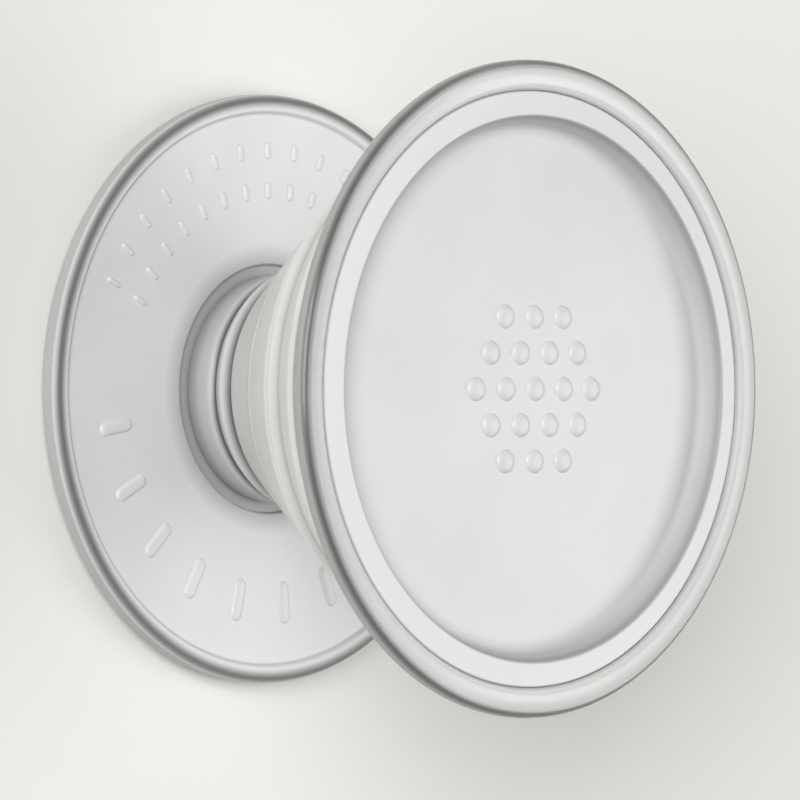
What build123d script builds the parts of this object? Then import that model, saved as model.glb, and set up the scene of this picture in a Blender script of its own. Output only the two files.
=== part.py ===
"""Collapsible phone grip, popped out: sticky base, folding cone and dished round top.

All sizes are millimetres. The grip's axis is Z, and the sticky face lies on Z = 0.
"""

import os
from math import cos, radians, sin, sqrt

from build123d import *

# Overall sizes
TOP_DIAMETER = 39.7
BASE_DIAMETER = 36.8
OPEN_HEIGHT = 24.9

# Adhesive pad
PAD_INSET = 0.7
PAD_THICKNESS = 0.55
PAD_EDGE = 0.15

# Base disc
BASE_THICKNESS = 1.4
BASE_SHOULDER_ROUND = 0.5
BASE_LAND_WIDTH = 1.0
BASE_LAND_HEIGHT = 0.25
BASE_LAND_SLOPE = 0.2
BASE_LAND_ROUND = 0.15
BASE_FOOT_ROUND = 0.35
WELL_DIAMETER = 15.5
WELL_LIP_ROUND = 0.2
WEB_THICKNESS = 0.4
POCKET_DEPTH = 0.45

# Raised marks on the base: bold ticks on one arc, two rows of fine ticks on the other
MARK_HEIGHT = 0.16
MARK_ROOT = 0.1
BOLD_MARK_COUNT = 9
BOLD_MARK_INSET = 5.0
BOLD_MARK_LENGTH = 2.7
BOLD_MARK_WIDTH = 0.9
BOLD_MARK_START = 190
BOLD_MARK_STEP = 17
FINE_MARK_COUNT = 15
FINE_MARK_LENGTH = 1.1
FINE_MARK_WIDTH = 0.4
FINE_MARK_START = 28
FINE_MARK_STEP = 9
FINE_MARK_OUTER_INSET = 3.5
FINE_MARK_ROW_PITCH = 2.5

# Swivel foot and its retainer
SHAFT_DIAMETER = 9.9
SHAFT_CLEARANCE = 0.05
SPIGOT_DIAMETER = 8.0
FLANGE_DIAMETER = 12.4
FLANGE_THICKNESS = 0.6
FOOT_CUP_DIAMETER = 8.4
FOOT_CUP_FLOOR = 0.7
RETAINER_DIAMETER = 12.6
RETAINER_THICKNESS = 0.35
RETAINER_FIT = 0.02
POCKET_CLEARANCE = 0.3
SWIVEL_GAP = 0.05

# Accordion: radii of the outside, heights above the base's face
WALL = 0.9
LIP_THICKNESS = 0.3
LIP_GAP = 0.1
LIP_OVERHANG = 0.35
NECK_FOOT_RADIUS = 7.05
NECK_RADIUS = 7.25
NECK_HEIGHT = 1.95
NECK_CREASE_RADIUS = 6.95
NECK_CREASE_HEIGHT = 2.3
NECK_BEAD_RADIUS = 7.6
NECK_BEAD_HEIGHT = 3.3
CONE_CREASE_RADIUS = 7.15
CONE_CREASE_HEIGHT = 4.05
CONE_START_RADIUS = 7.8
CONE_START_HEIGHT = 4.55
RIDGE_RADIUS = 14.5
RIDGE_SHARE = 0.735
HINGE_SHARE = 0.5
HINGE_DEPTH = 0.18
HINGE_HALF_WIDTH = 0.35
TIER_CREASE_RADIUS = 14.6
TIER_CREASE_RISE = 1.0
RIM_LIP_RADIUS = 16.5
RIM_LIP_DEPTH = 0.35
FOLD_ROUND = 0.3

# Mount plate in the cone's wide end
PLATE_DIAMETER = 30.0
PLATE_THICKNESS = 0.85
PLATE_GAP = 0.1
KEYHOLE_DIAMETER = 10.0
LUG_HALF_ANGLE = 20
LUG_ANGLE_CLEARANCE = 2
LUG_SLOT_CLEARANCE = 0.15
QUARTER_TURN = 90

# Top shell
RIM_HEIGHT = 1.1
RIM_ROUND = 0.59
RIM_TAPER = 0.5
RIM_CREST_WIDTH = 1.45
RIM_GROOVE_DEPTH = 0.33
HUB_WALL = 0.73
HUB_ROUND = 0.5
SHELL_ROUND = 0.3
SHELL_FLOOR = 0.6
SPIGOT_CLEARANCE = 0.1
SPIGOT_WALL = 1.3
LUG_LENGTH = 1.15
LUG_THICKNESS = 0.75
LUG_GAP = 0.05

# Top insert: widths run inwards from the rim
RIM_WIDTH = 1.85
INSERT_FIT = 0.02
FLANGE_DEPTH = 0.6
LEDGE_WIDTH = 1.55
LEDGE_ROUND = 0.25
LEDGE_EDGE_ROUND = 0.15
CUP_WALL = 0.4
CUP_ROUND = 0.3
WALL_DRAFT = 0.55
RECESS_DEPTH = 1.45
RECESS_ROUND = 0.5
INSERT_FLOOR = 1.53
CHANNEL_WIDTH = 0.5
DOME_RISE = 1.15
DOME_WALL = 0.75
DOME_ROOT = 0.7

# Raised pips on the dish: a hexagonal cluster
PIP_RADIUS = 0.75
PIP_PITCH = 2.5
PIP_ROW_ANGLE = 60
PIP_RINGS = 2
PIP_HEIGHT = 0.25
PIP_ROOT = 0.1
PIP_ROUND = 0.12

# Heights worked out from the sizes above
base_bottom = PAD_THICKNESS
base_land = base_bottom + BASE_THICKNESS
base_face = base_land - BASE_LAND_HEIGHT
web_bottom = base_bottom + POCKET_DEPTH
web_top = web_bottom + WEB_THICKNESS
lip_bottom = web_top + LIP_GAP
flange_bottom = lip_bottom + LIP_THICKNESS
flange_top = flange_bottom + FLANGE_THICKNESS
shaft_bottom = web_bottom - SWIVEL_GAP
foot_bottom = shaft_bottom - RETAINER_THICKNESS

crest = OPEN_HEIGHT
rim_bottom = crest - RIM_HEIGHT
groove = crest - RIM_GROOVE_DEPTH
flange_seat = groove - FLANGE_DEPTH
dish_floor = crest - RECESS_DEPTH
insert_bottom = dish_floor - INSERT_FLOOR
shell_bottom = insert_bottom - SHELL_FLOOR
plate_top = shell_bottom - PLATE_GAP
plate_bottom = plate_top - PLATE_THICKNESS
lug_top = plate_bottom - LUG_GAP
lug_bottom = lug_top - LUG_THICKNESS

# Radii worked out from the sizes above
base_radius = BASE_DIAMETER / 2
pad_radius = base_radius - PAD_INSET
rim_radius = TOP_DIAMETER / 2
shaft_radius = SHAFT_DIAMETER / 2
hole_radius = shaft_radius + SHAFT_CLEARANCE
spigot_radius = SPIGOT_DIAMETER / 2
flange_radius = FLANGE_DIAMETER / 2
retainer_radius = RETAINER_DIAMETER / 2
insert_radius = rim_radius - RIM_WIDTH
ledge_inner = insert_radius - LEDGE_WIDTH
insert_cup = ledge_inner + CUP_WALL
wall_foot = ledge_inner - WALL_DRAFT
dome_radius = wall_foot - CHANNEL_WIDTH
plate_radius = PLATE_DIAMETER / 2
keyhole_radius = KEYHOLE_DIAMETER / 2
hub_spigot_radius = keyhole_radius - SPIGOT_CLEARANCE
lug_radius = hub_spigot_radius + LUG_LENGTH


def turned(corners):
    """Solid turned about Z from its half section, given as (radius, height, corner rounding)."""
    points = [(r, 0, z) for r, z, _ in corners]
    outline = FilletPolyline(*points, radius=[rounding for _, _, rounding in corners], close=True)
    return revolve(make_face(outline), Axis.Z, 360)


def sector(inner, outer, bottom, top, middle, half_angle):
    """Piece of a ring between two radii and two heights, centred on one angle about Z."""
    reach = 2 * outer
    start = radians(middle - half_angle)
    end = radians(middle + half_angle)
    wedge = make_face(
        Polyline(
            (0, 0),
            (reach * cos(start), reach * sin(start)),
            (reach * cos(end), reach * sin(end)),
            close=True,
        )
    )
    height = top - bottom
    ring = extrude(Circle(outer) - Circle(inner), height)
    return Pos(0, 0, bottom) * (ring & extrude(wedge, height))


def tick(radius, angle, length, width):
    """Raised mark on the base's face, lying along a radius."""
    height = MARK_HEIGHT + MARK_ROOT
    bar = extrude(SlotOverall(length, width), height)
    return Rot(0, 0, angle) * Pos(radius, 0, base_face - MARK_ROOT) * bar


def dome_arc(radius):
    """Arc of the dome's section, from the axis out to the dome's edge."""
    places = []
    for share in (0, 0.5, 1):
        r = share * dome_radius
        places.append((r, 0, sphere_centre + sqrt(radius**2 - r**2)))
    return ThreePointArc(*places)


def dome_height(x, y):
    """Height of the dome's surface over a place on the dish."""
    return sphere_centre + sqrt(sphere_radius**2 - x**2 - y**2)


# Adhesive pad
adhesive_pad = turned(
    [
        (0, 0, 0),
        (pad_radius, 0, PAD_EDGE),
        (pad_radius, PAD_THICKNESS, PAD_EDGE),
        (0, PAD_THICKNESS, 0),
    ]
)

# Base disc with its raised marks
pocket_radius = retainer_radius + POCKET_CLEARANCE
well_radius = WELL_DIAMETER / 2
land_inner = base_radius - BASE_LAND_WIDTH
base_disc = turned(
    [
        (hole_radius, web_bottom, 0),
        (pocket_radius, web_bottom, 0),
        (pocket_radius, base_bottom, 0),
        (base_radius, base_bottom, BASE_FOOT_ROUND),
        (base_radius, base_land, BASE_SHOULDER_ROUND),
        (land_inner, base_land, BASE_LAND_ROUND),
        (land_inner - BASE_LAND_SLOPE, base_face, BASE_LAND_ROUND),
        (well_radius, base_face, WELL_LIP_ROUND),
        (well_radius, web_top, 0),
        (hole_radius, web_top, 0),
    ]
)
bold_radius = base_radius - BOLD_MARK_INSET
for index in range(BOLD_MARK_COUNT):
    angle = BOLD_MARK_START + index * BOLD_MARK_STEP
    base_disc += tick(bold_radius, angle, BOLD_MARK_LENGTH, BOLD_MARK_WIDTH)
fine_outer = base_radius - FINE_MARK_OUTER_INSET
fine_inner = fine_outer - FINE_MARK_ROW_PITCH
for index in range(FINE_MARK_COUNT):
    angle = FINE_MARK_START + index * FINE_MARK_STEP
    base_disc += tick(fine_outer, angle, FINE_MARK_LENGTH, FINE_MARK_WIDTH)
    base_disc += tick(fine_inner, angle, FINE_MARK_LENGTH, FINE_MARK_WIDTH)

# Swivel foot: flange, shaft and spigot, hollowed from above
cup_radius = FOOT_CUP_DIAMETER / 2
cup_floor = shaft_bottom + FOOT_CUP_FLOOR
swivel_foot = turned(
    [
        (0, foot_bottom, 0),
        (spigot_radius, foot_bottom, 0),
        (spigot_radius, shaft_bottom, 0),
        (shaft_radius, shaft_bottom, 0),
        (shaft_radius, flange_bottom, 0),
        (flange_radius, flange_bottom, 0),
        (flange_radius, flange_top, 0),
        (cup_radius, flange_top, 0),
        (cup_radius, cup_floor, 0),
        (0, cup_floor, 0),
    ]
)

# Retainer washer on the foot's spigot
bore_radius = spigot_radius + RETAINER_FIT
foot_retainer = turned(
    [
        (bore_radius, foot_bottom, 0),
        (retainer_radius, foot_bottom, 0),
        (retainer_radius, shaft_bottom, 0),
        (bore_radius, shaft_bottom, 0),
    ]
)

# Accordion: outside from the neck up to the lip, then the inside back down
cone_start = base_face + CONE_START_HEIGHT
lip_foot = plate_bottom - RIM_LIP_DEPTH
ridge = cone_start + RIDGE_SHARE * (lip_foot - cone_start)
cone_slope = (RIDGE_RADIUS - CONE_START_RADIUS) / (ridge - cone_start)
hinge = cone_start + HINGE_SHARE * (ridge - cone_start)
hinge_low = hinge - HINGE_HALF_WIDTH
hinge_high = hinge + HINGE_HALF_WIDTH
hinge_radius = CONE_START_RADIUS + cone_slope * (hinge - cone_start)
hinge_step = cone_slope * HINGE_HALF_WIDTH
tier_crease = ridge + TIER_CREASE_RISE
lip_inner_radius = plate_radius - WALL
neck_inner_radius = NECK_CREASE_RADIUS - WALL
accordion = turned(
    [
        (NECK_FOOT_RADIUS, lip_bottom, FOLD_ROUND),
        (NECK_RADIUS, base_face + NECK_HEIGHT, FOLD_ROUND),
        (NECK_CREASE_RADIUS, base_face + NECK_CREASE_HEIGHT, FOLD_ROUND / 2),
        (NECK_BEAD_RADIUS, base_face + NECK_BEAD_HEIGHT, FOLD_ROUND),
        (CONE_CREASE_RADIUS, base_face + CONE_CREASE_HEIGHT, FOLD_ROUND / 2),
        (CONE_START_RADIUS, cone_start, FOLD_ROUND / 2),
        (hinge_radius - hinge_step, hinge_low, FOLD_ROUND),
        (hinge_radius - HINGE_DEPTH, hinge, FOLD_ROUND),
        (hinge_radius + hinge_step, hinge_high, FOLD_ROUND),
        (RIDGE_RADIUS, ridge, FOLD_ROUND),
        (TIER_CREASE_RADIUS, tier_crease, FOLD_ROUND),
        (RIM_LIP_RADIUS, lip_foot, FOLD_ROUND),
        (RIM_LIP_RADIUS, plate_top, FOLD_ROUND / 2),
        (plate_radius, plate_top, 0),
        (plate_radius, plate_bottom, 0),
        (lip_inner_radius, plate_bottom, 0),
        (lip_inner_radius, lip_foot, FOLD_ROUND),
        (TIER_CREASE_RADIUS - WALL, tier_crease, FOLD_ROUND),
        (RIDGE_RADIUS - WALL, ridge, FOLD_ROUND),
        (CONE_START_RADIUS - WALL, cone_start, FOLD_ROUND),
        (neck_inner_radius, base_face + NECK_CREASE_HEIGHT, FOLD_ROUND),
        (neck_inner_radius, flange_top, 0),
        (flange_radius, flange_top, 0),
        (flange_radius, flange_bottom, 0),
        (shaft_radius + LIP_OVERHANG, flange_bottom, 0),
        (shaft_radius + LIP_OVERHANG, lip_bottom, 0),
    ]
)

# Mount plate: keyed hole for the lugs, and two stops under it
mount_plate = Pos(0, 0, plate_bottom) * extrude(Circle(plate_radius), PLATE_THICKNESS)
mount_plate -= Pos(0, 0, plate_bottom) * extrude(Circle(keyhole_radius), PLATE_THICKNESS)
stop_half_angle = (180 - QUARTER_TURN - 2 * LUG_HALF_ANGLE) / 2 - LUG_ANGLE_CLEARANCE
stop_middle = QUARTER_TURN + LUG_HALF_ANGLE + LUG_ANGLE_CLEARANCE + stop_half_angle
for side in (0, 180):
    mount_plate -= sector(
        keyhole_radius / 2,
        lug_radius + LUG_SLOT_CLEARANCE,
        plate_bottom,
        plate_top,
        QUARTER_TURN + side,
        LUG_HALF_ANGLE + LUG_ANGLE_CLEARANCE,
    )
    mount_plate += sector(
        keyhole_radius,
        lug_radius,
        lug_bottom,
        plate_bottom,
        stop_middle + side,
        stop_half_angle,
    )

# Top shell: rim bead, stepped seat, hub floor and lugged spigot
bore = insert_cup + INSERT_FIT
hub_radius = bore + HUB_WALL
seat_radius = insert_radius + INSERT_FIT
crest_inner = rim_radius - RIM_CREST_WIDTH
top_shell = turned(
    [
        (0, shell_bottom, 0),
        (hub_radius, shell_bottom, HUB_ROUND),
        (hub_radius, rim_bottom - RIM_TAPER, SHELL_ROUND),
        (rim_radius, rim_bottom, RIM_ROUND),
        (rim_radius, crest, RIM_ROUND),
        (crest_inner, crest, SHELL_ROUND),
        (seat_radius, groove, 0),
        (seat_radius, flange_seat, 0),
        (bore, flange_seat, 0),
        (bore, insert_bottom, 0),
        (0, insert_bottom, 0),
    ]
)
tube_height = shell_bottom - lug_bottom + SHELL_FLOOR / 2
tube = Circle(hub_spigot_radius) - Circle(hub_spigot_radius - SPIGOT_WALL)
top_shell += Pos(0, 0, lug_bottom) * extrude(tube, tube_height)
for side in (0, 180):
    top_shell += sector(
        hub_spigot_radius - SPIGOT_WALL / 2,
        lug_radius,
        lug_bottom,
        lug_top,
        side,
        LUG_HALF_ANGLE,
    )

# Top insert: ledge, recess, domed middle and pips
dome_root = dome_radius - DOME_ROOT
top_insert = turned(
    [
        (dome_root, insert_bottom, 0),
        (insert_cup, insert_bottom, CUP_ROUND),
        (insert_cup, flange_seat, 0),
        (insert_radius, flange_seat, 0),
        (insert_radius, groove, LEDGE_EDGE_ROUND),
        (ledge_inner, crest, LEDGE_ROUND),
        (wall_foot, dish_floor, RECESS_ROUND),
        (dome_root, dish_floor, 0),
    ]
)
sphere_radius = (dome_radius**2 + DOME_RISE**2) / (2 * DOME_RISE)
sphere_centre = dish_floor + DOME_RISE - sphere_radius
dome_top = dome_arc(sphere_radius)
dome_under = dome_arc(sphere_radius - DOME_WALL)
dome_section = make_face(
    [
        dome_top,
        Line(dome_top @ 1, dome_under @ 1),
        dome_under,
        Line(dome_under @ 0, dome_top @ 0),
    ]
)
top_insert += revolve(dome_section, Axis.Z, 360)
pip = extrude(Circle(PIP_RADIUS), PIP_HEIGHT + PIP_ROOT)
pip = fillet(pip.edges().group_by(Axis.Z)[-1], PIP_ROUND)
for row in range(-PIP_RINGS, PIP_RINGS + 1):
    count = 2 * PIP_RINGS + 1 - abs(row)
    for place in range(count):
        x = (place - (count - 1) / 2) * PIP_PITCH
        y = row * PIP_PITCH * sin(radians(PIP_ROW_ANGLE))
        top_insert += Pos(x, y, dome_height(x, y) - PIP_ROOT) * pip

# Export
pieces = {
    "adhesive_pad": adhesive_pad,
    "base_disc": base_disc,
    "swivel_foot": swivel_foot,
    "foot_retainer": foot_retainer,
    "accordion": accordion,
    "mount_plate": mount_plate,
    "top_shell": top_shell,
    "top_insert": top_insert,
}
os.makedirs("parts", exist_ok=True)
for name, piece in pieces.items():
    export_step(piece, f"parts/{name}.step")
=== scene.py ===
# %% [markdown]
# # A collapsible grip
# This lesson dresses a grip that sticks to a flat back, pops out to be held and folds flat again. It has a
# round base, a rubber cone and a domed top with a polished rim. The solid model is loaded first as a fixed
# frame, and every new surface is then worked out as an array of points in that same frame.

import bpy
import numpy as np
from mathutils import Matrix, Vector


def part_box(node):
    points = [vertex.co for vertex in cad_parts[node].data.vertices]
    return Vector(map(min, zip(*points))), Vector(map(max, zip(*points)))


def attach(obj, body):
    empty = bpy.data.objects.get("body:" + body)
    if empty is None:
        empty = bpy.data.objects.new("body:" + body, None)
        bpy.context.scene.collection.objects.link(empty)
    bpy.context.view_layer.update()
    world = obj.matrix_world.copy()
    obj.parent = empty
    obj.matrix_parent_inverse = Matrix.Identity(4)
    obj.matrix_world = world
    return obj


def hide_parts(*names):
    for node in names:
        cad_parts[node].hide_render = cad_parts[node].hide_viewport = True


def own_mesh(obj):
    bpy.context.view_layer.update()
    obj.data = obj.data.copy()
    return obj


MM = 0.001
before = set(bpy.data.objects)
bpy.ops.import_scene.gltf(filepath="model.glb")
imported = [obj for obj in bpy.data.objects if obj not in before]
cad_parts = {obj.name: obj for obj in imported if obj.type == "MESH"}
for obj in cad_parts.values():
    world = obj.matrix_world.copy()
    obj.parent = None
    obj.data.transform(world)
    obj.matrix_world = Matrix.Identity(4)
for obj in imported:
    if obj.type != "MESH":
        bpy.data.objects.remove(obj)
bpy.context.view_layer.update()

# %% [markdown]
# ## Drawing a section
# Every piece of the grip is round about one axis, so a lathe is the natural tool. It needs half a section,
# and moulded plastic has no sharp corner there. A Bevel modifier could round the corners after the turning,
# but here each corner has a rounding of its own, so the arcs are worked into the section.

# %% Rounded section
HOLD = 0.02
ARC_STEPS = 7


def rounded(corners, closed=True):
    """Half section in millimetres as an (n, 2) array, from corners of radius, height and rounding.

    At a corner P with unit sides a and b, half angle h and rounding q, the arc's centre is P plus q / sin(h)
    along the bisector. The arc swings from one tangent point to the other as a blend of the two spokes,
    weighted by the sines of the angle still to go and the angle gone. A short hold on each side keeps the
    straight runs flat under smooth shading. The two ends of an open section stay sharp.
    """
    points = np.array([c[:2] for c in corners], float)
    share = np.linspace(0, 1, ARC_STEPS)[:, None]
    runs = []
    for i, (*_, q) in enumerate(corners):
        p = points[i]
        if not closed and i in (0, len(corners) - 1):
            runs.append(p[None])
            continue
        a = points[i - 1] - p
        b = points[(i + 1) % len(points)] - p
        a = a / np.linalg.norm(a)
        b = b / np.linalg.norm(b)
        half = np.arccos(np.clip(a @ b, -1, 1)) / 2
        reach = q / np.tan(half)
        centre = p + (a + b) / np.linalg.norm(a + b) * q / np.sin(half)
        first = p + a * reach - centre
        last = p + b * reach - centre
        swing = np.pi - 2 * half
        arc = centre + (np.sin((1 - share) * swing) * first + np.sin(share * swing) * last) / np.sin(swing)
        runs += [p + a[None] * (reach + HOLD), arc, p + b[None] * (reach + HOLD)]
    return np.concatenate(runs)


print("a rounded square has", len(rounded([(1, 0, 0.1), (2, 0, 0.1), (2, 1, 0.1), (1, 1, 0.1)])), "points")

# %% [markdown]
# ## Turning it
# Blender's Screw modifier turns a section too, but its points on the axis stay doubled until they are
# merged. One array formula closes the seam and the poles by itself.

# %% Turned surface
TURN_STEPS = 192
NONE = -1


def turned(section, closed=True, turns=TURN_STEPS):
    """Points and faces of a section turned about Z: x = r cos t, y = r sin t, z = height.

    A closed section becomes a ring. An open one starts and ends on the axis, where one point closes each
    pole with a fan of triangles. Every face has four places, and a triangle leaves its last one empty.
    """
    t = np.arange(turns) * 2 * np.pi / turns
    body = section if closed else section[1:-1]
    r = body[:, :1]
    grid = np.stack([r * np.cos(t), r * np.sin(t), np.repeat(body[:, 1:], turns, axis=1)], axis=-1)
    ring = np.arange(turns)
    rows = np.arange(len(body) if closed else len(body) - 1)[:, None] * turns
    ahead = (ring + 1) % turns
    above = (rows + turns) % (len(body) * turns)
    quads = np.stack(np.broadcast_arrays(rows + ring, rows + ahead, above + ahead, above + ring), -1)
    points = grid.reshape(-1, 3)
    faces = quads.reshape(-1, 4)
    if not closed:
        low = np.full(turns, len(points))
        last = (len(body) - 1) * turns
        points = np.vstack([points, [[0, 0, section[0, 1]], [0, 0, section[-1, 1]]]])
        floor_fan = np.stack([low, ahead, ring, NONE + 0 * ring], -1)
        roof_fan = np.stack([low + 1, last + ring, last + ahead, NONE + 0 * ring], -1)
        faces = np.vstack([faces, floor_fan, roof_fan])
    return points, faces


print("one turn has", TURN_STEPS, "steps of", 360 / TURN_STEPS, "degrees")

# %% [markdown]
# ## From arrays to an object
# A mesh can be filled point by point, but whole arrays go in at once with foreach_set, which is far
# quicker. The object stays at the origin, so the place of a piece is in its points, and it rides on a body
# of the frame.

# %% Piece from arrays
def piece(name, parts, body, material):
    """One object from several point and face sets, in metres, riding on a body of the frame.

    The faces of each set count from its own first point, so each set is shifted by the points before it.
    """
    points = np.concatenate([p for p, _ in parts]) * MM
    starts = np.cumsum([0] + [len(p) for p, _ in parts[:-1]])
    faces = np.concatenate([np.where(f == NONE, NONE, f + start) for (_, f), start in zip(parts, starts)])
    corners = faces != NONE
    sizes = corners.sum(axis=1)
    mesh = bpy.data.meshes.new(name)
    mesh.vertices.add(len(points))
    mesh.vertices.foreach_set("co", points.ravel())
    mesh.loops.add(int(sizes.sum()))
    mesh.loops.foreach_set("vertex_index", faces[corners])
    mesh.polygons.add(len(faces))
    mesh.polygons.foreach_set("loop_start", np.cumsum(sizes) - sizes)
    mesh.polygons.foreach_set("use_smooth", np.ones(len(faces), bool))
    mesh.update(calc_edges=True)
    mesh.materials.append(material)
    obj = bpy.data.objects.new(name, mesh)
    bpy.context.scene.collection.objects.link(obj)
    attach(obj, body)
    print(name, len(mesh.vertices), "points", len(mesh.polygons), "faces")
    return obj


# %% [markdown]
# ## Raised marks
# The base and the dome carry soft moulded marks. They could be bump in the material, but then their outline
# would stay flat. A small pad with a flat foot and a crowned top needs only two parameters: one runs round
# the outline, the other from the foot to the middle.

# %% Pad helper
CROWN_SPAN = 0.999


def pad(length, width, height, root, around=40, rings=9):
    """Crowned pad on a slot outline, about its own middle and lying along X.

    The outline is a point of the spine plus half the width along the angle; rings shrink that half width
    from 1 to 0, and the height is one minus the fourth power of what is left. The first ring lies a root
    below the face, and the last one closes along the spine, just short of its ends.
    """
    t = (np.arange(around) + 0.5) * 2 * np.pi / around
    left = np.cos(np.linspace(0, np.pi / 2, rings))[:-1, None]
    spine = np.sign(np.cos(t)) * (length - width) / 2
    x = spine + left * np.cos(t) * width / 2
    y = left * np.sin(t) * width / 2
    z = np.broadcast_to(height * (1 - left**4), x.shape)
    grid = np.stack([x, y, z], -1)
    foot = grid[:1] - [0, 0, root]
    crown = np.stack([spine * CROWN_SPAN, 0 * t, 0 * t + height], -1)[None]
    grid = np.concatenate([foot, grid, crown])
    rows = np.arange(len(grid) - 1)[:, None] * around
    above = rows + around
    ring = np.arange(around)
    ahead = (ring + 1) % around
    quads = np.stack([rows + ring, rows + ahead, above + ahead, above + ring], -1)
    return grid.reshape(-1, 3), quads.reshape(-1, 4)


def placed(part, x, y, z, angle=0):
    """The pad turned about Z by an angle in degrees and moved to a place."""
    points, faces = part
    c, s = np.cos(np.radians(angle)), np.sin(np.radians(angle))
    turn = np.array([[c, s, 0], [-s, c, 0], [0, 0, 1]])
    return points @ turn + [x, y, z], faces


print("a pad has", len(pad(2, 1, 0.1, 0.1)[1]), "faces")

# %% [markdown]
# ## Finishes from nodes
# Each finish is one Principled shader, fed by other nodes. Linking them by hand takes three lines a node,
# so one short helper adds a node and either sets or links each of its sockets.

# %% Node helpers
def add(tree, kind, settings=None, **sockets):
    """New node of a kind, with plain settings, and sockets by name (_ for a space) or by number (v0, v1)."""
    node = tree.nodes.new("ShaderNode" + kind)
    for key, value in (settings or {}).items():
        setattr(node, key, value)
    for key, value in sockets.items():
        socket = node.inputs[int(key[1:]) if key[1:].isdigit() else key.replace("_", " ")]
        if isinstance(value, bpy.types.NodeSocket):
            tree.links.new(value, socket)
        else:
            socket.default_value = value
    return node


def maths(tree, operation, a, b=0.0):
    """One value worked out from two."""
    return add(tree, "Math", {"operation": operation}, v0=a, v1=b).outputs[0]


def blank(name):
    """New material with its tree, its Principled shader and the Object coordinates."""
    material = bpy.data.materials.new(name)
    material.use_nodes = True
    tree = material.node_tree
    shader = tree.nodes["Principled BSDF"]
    place = add(tree, "TexCoord").outputs["Object"]
    return material, tree, shader, place


def fixed(shader, **values):
    """Constants that are set on the shader's own sockets."""
    for key, value in values.items():
        shader.inputs[key.replace("_", " ")].default_value = value


# %% [markdown]
# ## Grain and clouds
# Moulded plastic is never one flat colour. Noise on Object coordinates gives it clouds and grain, and a
# grain of a tenth of a millimetre keeps its size whatever piece it lies on.

# %% Pattern helpers
def noise(tree, place, size, detail=3.0):
    """Noise from 0 to 1 whose blots are about so many millimetres across."""
    return add(tree, "TexNoise", Vector=place, Scale=1 / (size * MM), Detail=detail).outputs["Fac"]


def span(tree, value, low, high, start=0.3, end=0.7):
    """A value's stretch from start to end, spread over low to high."""
    return add(tree, "MapRange", v0=value, v1=start, v2=end, v3=low, v4=high).outputs[0]


def tint(tree, share, dark, light):
    """Colour that runs from dark to light with a share."""
    return add(tree, "Mix", {"data_type": "RGBA"}, v0=share, v6=(*dark, 1), v7=(*light, 1)).outputs[2]


def over(tree, share, under, colour):
    """One colour laid over another by a share."""
    return add(tree, "Mix", {"data_type": "RGBA"}, v0=share, v6=under, v7=(*colour, 1)).outputs[2]


def clouded(tree, place, size, dark, light):
    """Colour that drifts between dark and light in clouds of a size."""
    return tint(tree, span(tree, noise(tree, place, size), 0, 1), dark, light)


def grained(tree, shader, height, depth):
    """Bump of a height from 0 to 1 that stands for a depth in millimetres."""
    bump = add(tree, "Bump", Height=height, Strength=1.0, Distance=depth * MM)
    tree.links.new(bump.outputs["Normal"], shader.inputs["Normal"])


# %% [markdown]
# ## Paint by place
# Painted shade darkens the thick edges of the pale plastic, its steps and its recesses, and a painted
# highlight brightens one slope of the rim. All of them are rings about the axis, so two plain measures say
# where such a ring lies: the distance from the axis and the height.

# %% Place helpers
def radius_of(tree, place):
    """Distance from the grip's axis in millimetres."""
    flat = add(tree, "VectorMath", {"operation": "MULTIPLY"}, v0=place, v1=(1 / MM, 1 / MM, 0))
    return add(tree, "VectorMath", {"operation": "LENGTH"}, v0=flat.outputs[0]).outputs["Value"]


def height_of(tree, place):
    """Height above the sticky face in millimetres."""
    return maths(tree, "DIVIDE", add(tree, "SeparateXYZ", v0=place).outputs["Z"], MM)


def band(tree, value, centre, half_width):
    """One where a value meets a centre, falling smoothly to nought half a width away."""
    off = maths(tree, "ABSOLUTE", maths(tree, "SUBTRACT", value, centre))
    fall = {"interpolation_type": "SMOOTHSTEP"}
    return add(tree, "MapRange", fall, v0=off, v1=0.0, v2=half_width, v3=1.0, v4=0.0).outputs[0]


def times(tree, a, b):
    """Product of two values."""
    return maths(tree, "MULTIPLY", a, b)


def ring_line(tree, reach, centre, half_width, share):
    """Share of paint in a soft line round the axis: a band of the distance from it, times the share."""
    return times(tree, band(tree, reach, centre, half_width), share)


# %% [markdown]
# ## Base plastic
# The base is moulded in pale grey, half clear plastic with a fine spark-eroded grain. Its thick rounded
# edge gets painted shade, so it looks darker than the flat face, and so do the land's step and the well. A
# plain grey would miss the grain and the shade, so the colour follows the distance from the axis and the
# height, and two sizes of noise roughen it.

# %% Base plastic
base_low, base_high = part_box("base_disc")
base_radius = base_high.x / MM
FACE = 1.7
WEB = (1.0, 1.4)
WELL_RADIUS = 7.75
LAND_WIDTH = 1.0
LAND_SLOPE = 0.2
FROST = ((0.745, 0.75, 0.76), (0.785, 0.79, 0.80))
FROST_EDGE_SHADE = (0.07, 0.07, 0.065)
FROST_SEAM_SHADE = (0.25, 0.25, 0.255)
FROST_WELL_SHADE = (0.07, 0.07, 0.07)


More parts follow.
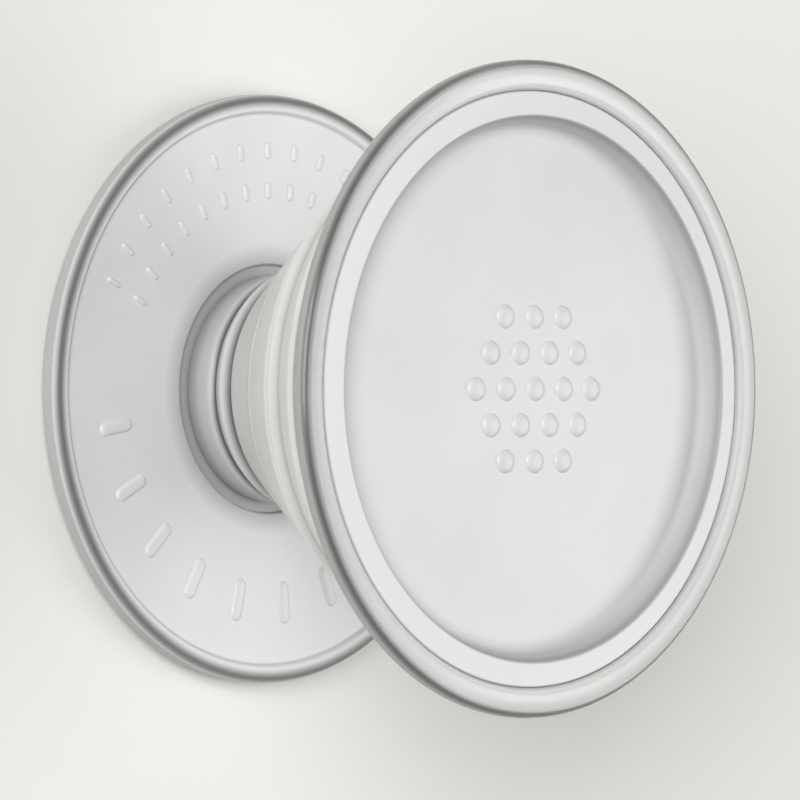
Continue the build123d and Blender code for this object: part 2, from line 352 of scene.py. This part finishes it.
def base_plastic():
    """Clouded grey with three painted shades over it: on the rounded edge, in the land's step, and in the
    well.
    """
    material, tree, shader, place = blank("frosted_base")
    grain = noise(tree, place, size=0.12, detail=2.0)
    reach = radius_of(tree, place)
    rise = height_of(tree, place)
    colour = clouded(tree, place, 6.0, *FROST)
    # Painted shade on the side wall and on the rounded shoulder.
    outside = span(tree, reach, 0, 0.42, start=base_radius - 0.2, end=base_radius - 0.05)
    side = times(tree, outside, span(tree, rise, 1, 0, start=FACE - 0.2, end=FACE))
    upper = span(tree, rise, 0, 0.86, start=FACE - 0.2, end=FACE + 0.1)
    shoulder = times(tree, band(tree, reach, base_radius - 0.35, half_width=0.62), upper)
    colour = over(tree, maths(tree, "MAXIMUM", side, shoulder), colour, FROST_EDGE_SHADE)
    # Painted shade in the step at the land's foot.
    step = base_radius - LAND_WIDTH - LAND_SLOPE
    colour = over(tree, ring_line(tree, reach, step, half_width=0.17, share=0.3), colour, FROST_SEAM_SHADE)
    # Painted shade round the well's lip and down in the well.
    lip = span(tree, reach, 0.4, 0, start=WELL_RADIUS - 0.05, end=WELL_RADIUS + 1.35)
    inside = span(tree, reach, 1, 0, start=WELL_RADIUS - 0.05, end=WELL_RADIUS + 0.1)
    well = times(tree, inside, span(tree, rise, 0.47, 0.4, start=WEB[1], end=FACE))
    colour = over(tree, maths(tree, "MAXIMUM", lip, well), colour, FROST_WELL_SHADE)
    tree.links.new(colour, shader.inputs["Base Color"])
    tree.links.new(span(tree, grain, 0.32, 0.46), shader.inputs["Roughness"])
    grained(tree, shader, grain, depth=0.004)
    fixed(shader, IOR=1.5, Specular_IOR_Level=0.4)
    return material


frosted_base = base_plastic()
print("base plastic:", len(frosted_base.node_tree.nodes), "nodes")

# %% [markdown]
# ## Base disc
# The base is a shallow disc with a raised land round its face and a well in the middle for the cone's neck.
# It could be built from cylinders and cuts, but one turned section gives the same shape with every edge
# already rounded.

# %% Base disc
base_bottom = base_low.z / MM
LAND = base_high.z / MM
POCKET_RADIUS = 6.6
HOLE_RADIUS = 5.0
EDGE = 0.06
FOOT_ROUND = 0.35
SHOULDER_ROUND = 0.5
LIP_ROUND = 0.15
STEP_ROUND = 0.12

base_section = rounded(
    [
        (HOLE_RADIUS, WEB[0], EDGE),
        (POCKET_RADIUS, WEB[0], EDGE),
        (POCKET_RADIUS, base_bottom, EDGE),
        (base_radius, base_bottom, FOOT_ROUND),
        (base_radius, LAND, SHOULDER_ROUND),
        (base_radius - LAND_WIDTH, LAND, LIP_ROUND),
        (base_radius - LAND_WIDTH - LAND_SLOPE, FACE, STEP_ROUND),
        (WELL_RADIUS, FACE, LIP_ROUND),
        (WELL_RADIUS, WEB[1], EDGE),
        (HOLE_RADIUS, WEB[1], EDGE),
    ]
)
print("base section:", len(base_section), "points")

# %% [markdown]
# ## Base ticks
# Soft ticks stand on the face: bold ones on the lower arc, two rows of fine ones on the upper. They are
# moulded with the disc, so they belong to the same piece. Each is the same small pad, turned to its angle
# and set down at its place, so a row is only a list of angles.

# %% Base ticks
TICK_HEIGHT = 0.16
TICK_ROOT = 0.05
BOLD_INSET = 5.0
FINE_INSETS = (3.5, 6.0)
BOLD_ANGLES = 190 + 17 * np.arange(9)
FINE_ANGLES = 28 + 9 * np.arange(15)
bold = pad(2.7, 0.9, TICK_HEIGHT, TICK_ROOT)
fine = pad(1.1, 0.4, TICK_HEIGHT, TICK_ROOT, around=24, rings=6)
ticks = [(bold, BOLD_INSET, angle) for angle in BOLD_ANGLES]
ticks += [(fine, inset, angle) for inset in FINE_INSETS for angle in FINE_ANGLES]
base_parts = [turned(base_section)]
for tick, inset, angle in ticks:
    reach = base_radius - inset
    turn = np.radians(angle)
    base_parts.append(placed(tick, reach * np.cos(turn), reach * np.sin(turn), FACE, angle))
base_disc = piece("base_disc_moulding", base_parts, "base", frosted_base)
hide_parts("base_disc")

# %% [markdown]
# ## Cone rubber
# The cone is a soft, milky rubber, with a painted highlight on its ridge and lip, painted shade in its
# creases and painted shade low on its neck. Paint by height would slide when the cone folds, so each point
# of the mesh carries values of its own, large where a paint lies and nought away from it, and the colour
# reads those.

# %% Cone rubber
RUBBER = ((0.655, 0.655, 0.645), (0.70, 0.70, 0.69))
# Painted shade low on the neck, a painted highlight on the ridge and lip, and painted shade in the creases.
RUBBER_LAYERS = {"shade": (0.16, 0.16, 0.16), "fold_highlight": (0.95, 0.95, 0.93), "crease_shade": (0.06, 0.06, 0.06)}


def cone_rubber():
    """Clouded milky grey, with each layer's paint over it by the share that the mesh's points carry."""
    material, tree, shader, place = blank("milky_rubber")
    grain = noise(tree, place, size=0.6, detail=1.0)
    colour = clouded(tree, place, 3.0, *RUBBER)
    for layer, paint in RUBBER_LAYERS.items():
        share = add(tree, "Attribute", {"attribute_name": layer}).outputs["Fac"]
        colour = over(tree, share, colour, paint)
    tree.links.new(colour, shader.inputs["Base Color"])
    tree.links.new(span(tree, grain, 0.28, 0.38), shader.inputs["Roughness"])
    grained(tree, shader, grain, depth=0.002)
    fixed(shader, IOR=1.45)
    return material


milky_rubber = cone_rubber()
print("cone rubber:", len(milky_rubber.node_tree.nodes), "nodes")

# %% [markdown]
# ## Cone corners
# The cone rises from a short neck with two creases to a ridge and a wide lip under the top. Its wall is
# drawn once up the outside and once down the inside, as pairs of radius and height. A step inside the neck
# leaves room for the top's lugs, which come down into it when the grip is shut.

# %% Cone corners
FOLD = 0.3
CREASE_ROUND = 0.12
TIGHT = 0.05
WALL = 0.9
NECK_FOOT = (7.05, 1.5)
NECK_TOP = (7.25, 3.65)
NECK_CREASE = (6.95, 4.0)
NECK_BEAD = (7.6, 5.0)
CONE_CREASE = (7.15, 5.75)
CONE_START = (7.8, 6.25)
HINGE_DEPTH = 0.18
HINGE_HALF = np.array([0.232, 0.35])
RIDGE = (14.5, 16.37)
TIER_CREASE = (14.6, 17.37)
LIP_FOOT = (16.5, 20.02)
LIP_TOP = (16.5, 21.22)
PLATE_RADIUS = 15.0
PLATE_BOTTOM = 20.37
FLANGE_RADIUS = 6.2
FLANGE_HEIGHTS = (1.8, 2.4)
FOOT_LIP_RADIUS = 5.3
LUG_ROOM = (6.3, 3.15)

hinge = (np.array(CONE_START) + RIDGE) / 2
OUTSIDE = [
    (*NECK_FOOT, FOLD),
    (*NECK_TOP, FOLD),
    (*NECK_CREASE, CREASE_ROUND),
    (*NECK_BEAD, FOLD),
    (*CONE_CREASE, CREASE_ROUND),
    (*CONE_START, CREASE_ROUND),
    (*(hinge - HINGE_HALF), FOLD),
    (*(hinge - [HINGE_DEPTH, 0]), FOLD),
    (*(hinge + HINGE_HALF), FOLD),
    (*RIDGE, FOLD),
    (*TIER_CREASE, FOLD),
    (*LIP_FOOT, FOLD),
    (*LIP_TOP, FOLD / 2),
]
INSIDE = [
    (PLATE_RADIUS, LIP_TOP[1], TIGHT),
    (PLATE_RADIUS, PLATE_BOTTOM, TIGHT),
    (PLATE_RADIUS - WALL, PLATE_BOTTOM, TIGHT),
    (PLATE_RADIUS - WALL, LIP_FOOT[1], FOLD),
    (TIER_CREASE[0] - WALL, TIER_CREASE[1], FOLD),
    (RIDGE[0] - WALL, RIDGE[1], FOLD),
    (CONE_START[0] - WALL, CONE_START[1], FOLD),
    (LUG_ROOM[0], NECK_CREASE[1], FOLD),
    (*LUG_ROOM, TIGHT),
    (NECK_CREASE[0] - WALL, LUG_ROOM[1], TIGHT),
    (NECK_CREASE[0] - WALL, FLANGE_HEIGHTS[1], TIGHT),
    (FLANGE_RADIUS, FLANGE_HEIGHTS[1], TIGHT),
    (FLANGE_RADIUS, FLANGE_HEIGHTS[0], TIGHT),
    (FOOT_LIP_RADIUS, FLANGE_HEIGHTS[0], TIGHT),
    (FOOT_LIP_RADIUS, NECK_FOOT[1], TIGHT),
]
print("cone corners:", len(OUTSIDE), "outside and", len(INSIDE), "inside")

# %% [markdown]
# ## Cone section
# The painted highlight on the folds and the painted shade in the creases are stored on the mesh's points,
# so they have to stand close together. A Subdivision Surface would move the corners, so the section gets
# more points along its own line instead.

# %% Cone section
SPACING = 0.2


def filled(section, spacing):
    """A closed section with more points, so that no two stand further apart along it than a spacing."""
    loop = np.vstack([section, section[:1]])
    along = np.concatenate([[0], np.cumsum(np.linalg.norm(np.diff(loop, axis=0), axis=1))])
    marks = np.union1d(along, np.arange(0, along[-1], spacing))[:-1]
    return np.stack([np.interp(marks, along, loop[:, 0]), np.interp(marks, along, loop[:, 1])], -1)


cone_section = filled(rounded(OUTSIDE + INSIDE), SPACING)
print("cone section:", len(cone_section), "points")

# %% [markdown]
# ## Cutting the cone
# When the top is pushed down, the cone rolls up on itself. One mesh can't be stiff at both ends and fold
# between them, so the section is cut at the neck's crease and at the lip: the neck and the wall between
# them ride on the swivel, the lip goes with the collar, and the wall gets a mesh of its own.

# %% Cut sections
NECK_CUT = NECK_CREASE[1]
LIP_CUT = LIP_FOOT[1]
CONE_CUTS = (
    ("accordion_neck", -np.inf, NECK_CUT, "swivel"),
    ("accordion_wall", NECK_CUT, LIP_CUT, "swivel"),
    ("accordion_lip", LIP_CUT, np.inf, "collar"),
)
NEAR = 1e-9


def cut_section(section, low, high):
    """The closed stretch of a section between two heights, with new points where its sides cross them."""
    r, z = section.T
    r2, z2 = np.roll(section, -1, axis=0).T
    stretches = [section]
    place = [np.arange(len(section), dtype=float)]
    for level in (low, high):
        crossing = np.flatnonzero((z - level) * (z2 - level) < 0)
        share = (level - z[crossing]) / (z2[crossing] - z[crossing])
        cut = r[crossing] + share * (r2[crossing] - r[crossing])
        stretches.append(np.stack([cut, np.full(len(cut), level)], -1))
        place.append(crossing + share)
    points = np.concatenate(stretches)[np.argsort(np.concatenate(place), kind="stable")]
    return points[(points[:, 1] >= low - NEAR) & (points[:, 1] <= high + NEAR)]


cut_sections = [cut_section(cone_section, low, high) for _, low, high, _ in CONE_CUTS]
print("cut sections:", [len(section) for section in cut_sections], "points")

# %% [markdown]
# ## Accordion cone
# Each cut section is turned and carries its own painted highlight on the folds, painted shade in the
# creases and painted shade low on the neck. A layer is a few bands, and each band is a height, a spread and
# a share.

# %% Accordion cone
BANDS = {
    # Bands of the painted highlight on the ridge and lip, the painted shade in the creases and low on the
    # neck.
    "fold_highlight": [(15.75, 0.6, 0.9), (14.3, 2.5, 0.15), (19.9, 0.9, 0.2)],
    "crease_shade": [(4.0, 0.2, 0.95), (5.65, 0.35, 0.95), (6.2, 0.15, 0.5), (11.0, 0.5, 0.12), (17.37, 0.3, 0.3)],
    "shade": [(1.5, 1.4, 0.66), (2.6, 1.7, 0.3)],
}


def carry_layers(obj, heights):
    """Store each layer on a mesh's points: the largest of its bands, each a bell curve of the height."""
    for layer, bands in BANDS.items():
        centre, spread, share = np.array(bands).T
        value = (share * np.exp(-(((heights - centre) / spread) ** 2))).max(1)
        attribute = obj.data.attributes.new(layer, "FLOAT", "POINT")
        attribute.data.foreach_set("value", value.astype(np.float32))


for (cut_name, _, _, body), section in zip(CONE_CUTS, cut_sections):
    part = turned(section)
    cone_piece = piece(cut_name, [part], body, milky_rubber)
    carry_layers(cone_piece, part[0][:, 2:])
    if cut_name == "accordion_wall":
        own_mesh(cone_piece)
        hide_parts("accordion")

# %% [markdown]
# ## Rim plastic
# The top's rim is polished, half clear plastic: what lies behind it glimmers through. A clear shader alone
# would lose the milky body, so only part of the light is let through. Its thick outer edge gets painted
# shade, its inner slope a painted highlight and its groove painted shade, by distance from the axis and
# height. Handling leaves hair-fine scuffs that run round the rim, so the roughness comes from noise whose
# coordinates are only the distance from the axis and the height.

# %% Rim plastic
rim_low, rim_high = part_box("top_shell")
rim_radius = rim_high.x / MM
CREST = rim_high.z / MM
SEAT_RADIUS = 18.02
POLISH = ((0.87, 0.87, 0.875), (0.91, 0.91, 0.91))
POLISH_EDGE_SHADE = (0.05, 0.05, 0.048)
POLISH_SLOPE_HIGHLIGHT = (0.97, 0.97, 0.965)
LINE_SHADE = (0.16, 0.16, 0.16)


def rim_plastic():
    """Clouded near white under three paints: painted shade on the edge, a painted highlight on the inner
    slope and painted shade in the groove.
    """
    material, tree, shader, place = blank("polished_rim")
    reach = radius_of(tree, place)
    rise = height_of(tree, place)
    colour = clouded(tree, place, 5.0, *POLISH)
    # Painted shade on the thick outer edge.
    upper = span(tree, rise, 0.1, 0.86, start=CREST - 0.5, end=CREST - 0.35)
    line = times(tree, band(tree, reach, rim_radius - 0.19, half_width=0.36), upper)
    fall = span(tree, reach, 0, 0.34, start=rim_radius - 1.15, end=rim_radius - 0.35)
    colour = over(tree, maths(tree, "MAXIMUM", line, fall), colour, POLISH_EDGE_SHADE)
    # Painted highlight on the inner slope.
    slope = ring_line(tree, reach, rim_radius - 1.3, half_width=0.5, share=0.95)
    colour = over(tree, slope, colour, POLISH_SLOPE_HIGHLIGHT)
    # Painted shade in the groove.
    groove = ring_line(tree, reach, SEAT_RADIUS, half_width=0.22, share=0.5)
    colour = over(tree, groove, colour, LINE_SHADE)
    tree.links.new(colour, shader.inputs["Base Color"])
    ring = add(tree, "CombineXYZ", X=reach, Y=rise).outputs[0]
    scuff = add(tree, "TexNoise", Vector=ring, Scale=9.0, Detail=4.0).outputs["Fac"]
    tree.links.new(span(tree, scuff, 0.14, 0.26), shader.inputs["Roughness"])
    grained(tree, shader, scuff, depth=0.0005)
    fixed(shader, IOR=1.5, Specular_IOR_Level=0.4, Transmission_Weight=0.5)
    return material


polished_rim = rim_plastic()
print("rim plastic:", len(polished_rim.node_tree.nodes), "nodes")

# %% [markdown]
# ## Shell section
# Under the dish sits a shell: a thick rolled rim, a step that the insert rests on, and a plain hub with a
# flat floor. Its section starts and ends on the axis, so the turned surface closes at two poles.

# %% Shell section
RIM_BOTTOM = 23.8
RIM_TAPER = 0.5
TAPER_ROUND = 0.3
RIM_ROUND = 0.55
CREST_WIDTH = 1.45
CREST_ROUND = 0.3
HUB_RADIUS = 17.6
HUB_ROUND = 0.5
BORE_RADIUS = 16.87
GROOVE = 24.57
SEAT = 23.97
INSERT_BOTTOM = 21.92
SHELL_BOTTOM = 21.32

shell_section = rounded(
    [
        (0, SHELL_BOTTOM, 0),
        (HUB_RADIUS, SHELL_BOTTOM, HUB_ROUND),
        (HUB_RADIUS, RIM_BOTTOM - RIM_TAPER, TAPER_ROUND),
        (rim_radius, RIM_BOTTOM, RIM_ROUND),
        (rim_radius, CREST, RIM_ROUND),
        (rim_radius - CREST_WIDTH, CREST, CREST_ROUND),
        (SEAT_RADIUS, GROOVE, TIGHT),
        (SEAT_RADIUS, SEAT, TIGHT),
        (BORE_RADIUS, SEAT, TIGHT),
        (BORE_RADIUS, INSERT_BOTTOM, TIGHT),
        (0, INSERT_BOTTOM, 0),
    ],
    closed=False,
)
print("shell section:", len(shell_section), "points")

# %% [markdown]
# ## Top shell
# A short tube under the hub carries two lugs that lock into the collar. The tube is turned as the hub is,
# and a lug is a piece of a ring: a box section swept through a small angle.

# %% Top shell
SPIGOT = (3.6, 4.9)
SPIGOT_TOP = 21.6
SPIGOT_ROUND = 0.1
SPIGOT_STEPS = 96
LUG_REACH = (4.25, 6.05)
LUG_HEIGHTS = (rim_low.z / MM, 20.32)
LUG_MIDDLES = (0, 180)
LUG_HALF_ANGLE = 20


def ring_piece(inner, outer, bottom, top, middle, half_angle, steps=16):
    """Closed piece of a ring: a box section carried through an angle, with a cap at each end."""
    t = np.radians(np.linspace(middle - half_angle, middle + half_angle, steps))[:, None]
    r = np.array([inner, outer, outer, inner])
    z = np.array([bottom, bottom, top, top]) + 0 * t
    points = np.stack([r * np.cos(t), r * np.sin(t), z], -1).reshape(-1, 3)
    rows = np.arange(steps - 1)[:, None] * 4
    side = np.arange(4)
    ahead = (side + 1) % 4
    quads = np.stack([rows + side, rows + 4 + side, rows + 4 + ahead, rows + ahead], -1).reshape(-1, 4)
    last = (steps - 1) * 4
    caps = [[0, 1, 2, 3], [last + 3, last + 2, last + 1, last]]
    return points, np.vstack([quads, caps])


tube_corners = [(r, LUG_HEIGHTS[0], SPIGOT_ROUND) for r in SPIGOT]
tube_corners += [(r, SPIGOT_TOP, SPIGOT_ROUND) for r in reversed(SPIGOT)]
tube = turned(rounded(tube_corners), turns=SPIGOT_STEPS)
lugs = [ring_piece(*LUG_REACH, *LUG_HEIGHTS, middle, LUG_HALF_ANGLE) for middle in LUG_MIDDLES]
shell_parts = [turned(shell_section, closed=False), tube, *lugs]
top_shell = piece("top_rim_shell", shell_parts, "top", polished_rim)
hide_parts("top_shell")

# %% [markdown]
# ## Dish plastic
# The dish has a pale ledge and a gently domed middle, both in the same satin plastic. The recess between
# them gets painted shade that ramps up towards its wall, and two fine lines of painted shade mark the groove
# and the ledge's inner edge, all by distance from the axis.

# %% Dish plastic
FIT = 0.02
LEDGE_RADIUS = SEAT_RADIUS - FIT
LEDGE_EDGE = 16.45
SATIN = ((0.745, 0.745, 0.745), (0.785, 0.785, 0.78))
SATIN_LEDGE = (0.84, 0.84, 0.835)
SATIN_WALL_SHADE = (0.24, 0.24, 0.24)


def dish_plastic():
    """Clouded grey with a paler ledge, painted shade ramping up to the recess wall, and two painted shade
    lines.
    """
    material, tree, shader, place = blank("satin_dish")
    grain = noise(tree, place, size=0.15, detail=2.0)
    reach = radius_of(tree, place)
    colour = clouded(tree, place, 8.0, *SATIN)
    ledge = span(tree, reach, 0, 1, start=LEDGE_EDGE - 0.05, end=LEDGE_EDGE + 0.25)
    colour = over(tree, ledge, colour, SATIN_LEDGE)
    # Painted shade that ramps up towards the recess wall.
    ramp = span(tree, reach, 0, 0.48, start=LEDGE_EDGE - 1.25, end=LEDGE_EDGE - 0.15)
    wall = times(tree, ramp, span(tree, reach, 1, 0, start=LEDGE_EDGE - 0.05, end=LEDGE_EDGE + 0.1))
    colour = over(tree, wall, colour, SATIN_WALL_SHADE)
    # Two lines of painted shade: in the groove and at the ledge's inner edge.
    outer_line = ring_line(tree, reach, LEDGE_RADIUS, half_width=0.18, share=0.5)
    colour = over(tree, outer_line, colour, LINE_SHADE)
    inner_line = ring_line(tree, reach, LEDGE_EDGE - 0.03, half_width=0.25, share=0.42)
    colour = over(tree, inner_line, colour, LINE_SHADE)
    tree.links.new(colour, shader.inputs["Base Color"])
    cove = span(tree, band(tree, reach, LEDGE_EDGE - 0.75, half_width=0.8), 1, 1.6, start=0, end=1)
    tree.links.new(times(tree, span(tree, grain, 0.36, 0.44), cove), shader.inputs["Roughness"])
    smooth_out = span(tree, reach, 1, 0, start=LEDGE_EDGE - 0.85, end=LEDGE_EDGE - 0.05)
    grained(tree, shader, times(tree, grain, smooth_out), depth=0.002)
    fixed(shader, IOR=1.5)
    return material


satin_dish = dish_plastic()
print("dish plastic:", len(satin_dish.node_tree.nodes), "nodes")

# %% [markdown]
# ## Top insert
# The insert is a shallow dish: a raised ledge, a soft cove and a domed middle, with a cluster of soft pips
# to give a fingertip something to feel. The dome is part of a ball, so its section is an arc by formula,
# and the rounded corners of the cove join it to the ledge.

# %% Dome
DOME_RADIUS = 15.4
DISH_FLOOR = 23.45
DOME_RISE = 1.15
DOME_WALL = 0.75
DOME_ROOT = 14.7
COVE_REACH = 1.5
ball = (DOME_RADIUS**2 + DOME_RISE**2) / (2 * DOME_RISE)
ball_centre = DISH_FLOOR + DOME_RISE - ball


def dome_height(r, wall=0.0):
    """Height of the ball's surface, or of one a wall's thickness inside it, at a distance from the axis."""
    return ball_centre + np.sqrt((ball - wall) ** 2 - r**2)


under_reach = np.linspace(0, DOME_ROOT, 12)
over_reach = np.linspace(DOME_RADIUS - COVE_REACH, 0, 40)
under_dome = np.stack([under_reach, dome_height(under_reach, DOME_WALL)], -1)
over_dome = np.stack([over_reach, dome_height(over_reach)], -1)
print("dome: part of a ball of", round(ball, 1), "mm radius")

# %% [markdown]
# ## Ledge, cove and pips
# The dish's edge runs from the dome's underside round the ledge and down the recess wall to the dome again.
# The pips stand in five rows, each set over by half a step, as balls pack most closely.

# %% Top insert
INSERT_RADIUS = BORE_RADIUS - FIT
INSERT_ROUND = 0.3
LEDGE_ROUNDS = (0.15, 0.25)
WALL_FOOT = 15.9
COVE_ROUNDS = (0.55, 1.0)
edge_section = rounded(
    [
        (*under_dome[-1], 0),
        (DOME_ROOT, INSERT_BOTTOM, TIGHT),
        (INSERT_RADIUS, INSERT_BOTTOM, INSERT_ROUND),
        (INSERT_RADIUS, SEAT, TIGHT),
        (LEDGE_RADIUS, SEAT, TIGHT),
        (LEDGE_RADIUS, GROOVE, LEDGE_ROUNDS[0]),
        (LEDGE_EDGE, CREST, LEDGE_ROUNDS[1]),
        (WALL_FOOT, DISH_FLOOR, COVE_ROUNDS[0]),
        (DOME_RADIUS, DISH_FLOOR, COVE_ROUNDS[1]),
        (*over_dome[0], 0),
    ],
    closed=False,
)
insert_section = np.concatenate([under_dome[:-1], edge_section[:-1], over_dome])
insert_parts = [turned(insert_section, closed=False)]

PIPS_ACROSS = 5
PIP_PITCH = 2.5
PIP_ROW_ANGLE = 60
PIP_SIZE = 1.5
PIP_HEIGHT = 0.25
PIP_ROOT = 0.1
pip = pad(PIP_SIZE, PIP_SIZE, PIP_HEIGHT, PIP_ROOT, around=36)
half_rows = PIPS_ACROSS // 2
for row in range(-half_rows, half_rows + 1):
    count = PIPS_ACROSS - abs(row)
    y = row * PIP_PITCH * np.sin(np.radians(PIP_ROW_ANGLE))
    for x in (np.arange(count) - (count - 1) / 2) * PIP_PITCH:
        insert_parts.append(placed(pip, x, y, dome_height(np.hypot(x, y))))
top_insert = piece("top_dish_insert", insert_parts, "top", satin_dish)
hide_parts("top_insert")

# %% [markdown]
# ## Pieces kept from the solid model
# The sticky pad, the swivel foot, its washer and the mount plate have the right shape already, so they only
# need a finish. The pad is a grey gel that picks up fine specks; the hidden pieces are plain moulded
# plastic.

# %% Pad gel and moulded plastic
GEL = ((0.20, 0.20, 0.205), (0.26, 0.26, 0.265))
MOULDED = ((0.58, 0.58, 0.575), (0.64, 0.64, 0.63))


def pad_gel():
    """Clouded dark grey that lets a little light in, with specks in its roughness and bump."""
    material, tree, shader, place = blank("grey_gel")
    speck = noise(tree, place, size=0.4, detail=2.0)
    tree.links.new(clouded(tree, place, 4.0, *GEL), shader.inputs["Base Color"])
    tree.links.new(span(tree, speck, 0.35, 0.6), shader.inputs["Roughness"])
    grained(tree, shader, speck, depth=0.01)
    fixed(shader, IOR=1.42, Subsurface_Weight=0.1, Subsurface_Scale=0.5 * MM)
    return material


def hidden_plastic():
    """Clouded white grey with a fine grain."""
    material, tree, shader, place = blank("moulded_white")
    grain = noise(tree, place, size=0.15, detail=2.0)
    tree.links.new(clouded(tree, place, 3.0, *MOULDED), shader.inputs["Base Color"])
    tree.links.new(span(tree, grain, 0.35, 0.5), shader.inputs["Roughness"])
    grained(tree, shader, grain, depth=0.005)
    fixed(shader, IOR=1.5)
    return material


def dress(material, *names):
    """Give nodes of the frame a finish by filling their material slots."""
    for name in names:
        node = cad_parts[name]
        node.data.materials.clear()
        node.data.materials.append(material)
        print(name, "wears", material.name)


dress(pad_gel(), "adhesive_pad")
dress(hidden_plastic(), "swivel_foot", "foot_retainer", "mount_plate")

# %% [markdown]
# ## Floor
# The grip stands on a plain pale surface, which also catches its soft shadow. A single large square is
# enough. Far from the grip it fades into the pale surroundings, for rays that show them, so that no edge of
# it is seen.

# %% Floor
FLOOR_REACH = 1.5
FLOOR_COLOUR = (0.945, 0.955, 0.90, 1)
SURROUND = (0.84, 0.85, 0.80, 1)
FADE = (100.0, 350.0)


def seen(tree):
    """One for a ray that shows the surroundings: straight from the camera, mirrored or passed through."""
    path = add(tree, "LightPath").outputs
    either = maths(tree, "MAXIMUM", path["Is Camera Ray"], path["Is Glossy Ray"])
    return maths(tree, "MAXIMUM", either, path["Is Transmission Ray"])


def floor_paint():
    """Pale floor that turns into the glow of the surroundings by a share of the distance from the axis."""
    material, tree, shader, place = blank("pale_floor")
    fixed(shader, Base_Color=FLOOR_COLOUR, Roughness=0.7, Specular_IOR_Level=0.2)
    far = span(tree, radius_of(tree, place), 0, 1, *FADE)
    glow = add(tree, "Emission", Color=SURROUND).outputs[0]
    faded = add(tree, "MixShader", v0=times(tree, far, seen(tree)), v1=shader.outputs[0], v2=glow)
    tree.links.new(faded.outputs[0], tree.nodes["Material Output"].inputs["Surface"])
    return material


floor_mesh = bpy.data.meshes.new("floor")
corners = np.array([[-1, -1, 0], [1, -1, 0], [1, 1, 0], [-1, 1, 0]]) * FLOOR_REACH
floor_mesh.from_pydata(corners, [], [[0, 1, 2, 3]])
floor_mesh.materials.append(floor_paint())
floor = bpy.data.objects.new("floor", floor_mesh)
bpy.context.scene.collection.objects.link(floor)
print("floor:", 2 * FLOOR_REACH, "m square")

# %% [markdown]
# ## Lamps
# Two broad lamps stand left and right of the grip, about 38 degrees up, and the left one is the stronger. A
# large lamp close by gives the soft shadows of a studio, where a point lamp would draw hard ones.

# %% Lamps
AIM = Vector((0, 0, 0.015))


def soft_lamp(name, towards, distance, size, power):
    """Square area lamp, so far from the middle of the grip in a direction, shining back at it."""
    lamp = bpy.data.lights.new(name, "AREA")
    lamp.shape = "SQUARE"
    lamp.size = size
    lamp.energy = power
    obj = bpy.data.objects.new(name, lamp)
    away = Vector(towards).normalized()
    obj.location = AIM + away * distance
    obj.rotation_euler = away.to_track_quat("Z", "Y").to_euler()
    bpy.context.scene.collection.objects.link(obj)
    print(name, "at", [round(v, 3) for v in obj.location], "with", power, "W")


soft_lamp("left_key", towards=(-0.76, 0.17, 0.62), distance=0.6, size=0.35, power=2.85)
soft_lamp("right_key", towards=(0.78, -0.14, 0.61), distance=0.4, size=0.25, power=0.64)

# %% [markdown]
# ## World
# The world fills in with soft grey light, but where a ray shows the world itself, it looks as pale as the
# far floor. The plain Standard view shows colours about as they are written.

# %% World
WORLD_FILL = (0.2, 0.2, 0.2, 1)
world = bpy.data.worlds.new("studio")
bpy.context.scene.world = world
world.use_nodes = True
sky = world.node_tree
fill = sky.nodes["Background"]
fill.inputs["Color"].default_value = WORLD_FILL
shown = add(sky, "Background", Color=SURROUND).outputs[0]
both = add(sky, "MixShader", v0=seen(sky), v1=fill.outputs[0], v2=shown)
sky.links.new(both.outputs[0], sky.nodes["World Output"].inputs["Surface"])
bpy.context.scene.view_settings.view_transform = "Standard"
print("world fill:", WORLD_FILL[0], "shown:", SURROUND[:3])

# %% [markdown]
# ## Camera
# The picture was taken from the side of the base at about 46 degrees above it, with the camera rolled so
# that the grip's axis lies across the frame. A long lens keeps that place and fills the frame with the
# grip. The focal length, the centres and the frame's side are in pixels of that picture.

# %% Camera
EYE = Vector((-311.2, 0, 321.02)) * MM
TILT = np.radians(44.08)
PHOTO_FOCAL = 1872.0
PHOTO_CENTRE = (400.0, 400.1)
FRAME_CENTRE = (440.0, 403.0)
FRAME_SIDE = 210.0
SENSOR_WIDTH = 36.0
across = Vector((np.cos(TILT), 0, np.sin(TILT)))
upward = Vector((0, 1, 0))
back = Vector((-np.sin(TILT), 0, np.cos(TILT)))
shift_x = (FRAME_CENTRE[0] - PHOTO_CENTRE[0]) / PHOTO_FOCAL
shift_y = (FRAME_CENTRE[1] - PHOTO_CENTRE[1]) / PHOTO_FOCAL
look = (across * shift_x - upward * shift_y - back).normalized()
right = (across - look * across.dot(look)).normalized()
top = right.cross(look)
camera = bpy.data.cameras.new("camera")
camera.sensor_width = SENSOR_WIDTH
camera.lens = SENSOR_WIDTH * PHOTO_FOCAL / FRAME_SIDE
camera.clip_start = 10 * MM
camera_obj = bpy.data.objects.new("camera", camera)
camera_obj.matrix_world = Matrix((right, top, -look)).transposed().to_4x4()
camera_obj.location = EYE
bpy.context.scene.collection.objects.link(camera_obj)
bpy.context.scene.camera = camera_obj
print("lens", round(camera.lens, 1), "mm")

bpy.context.view_layer.update()
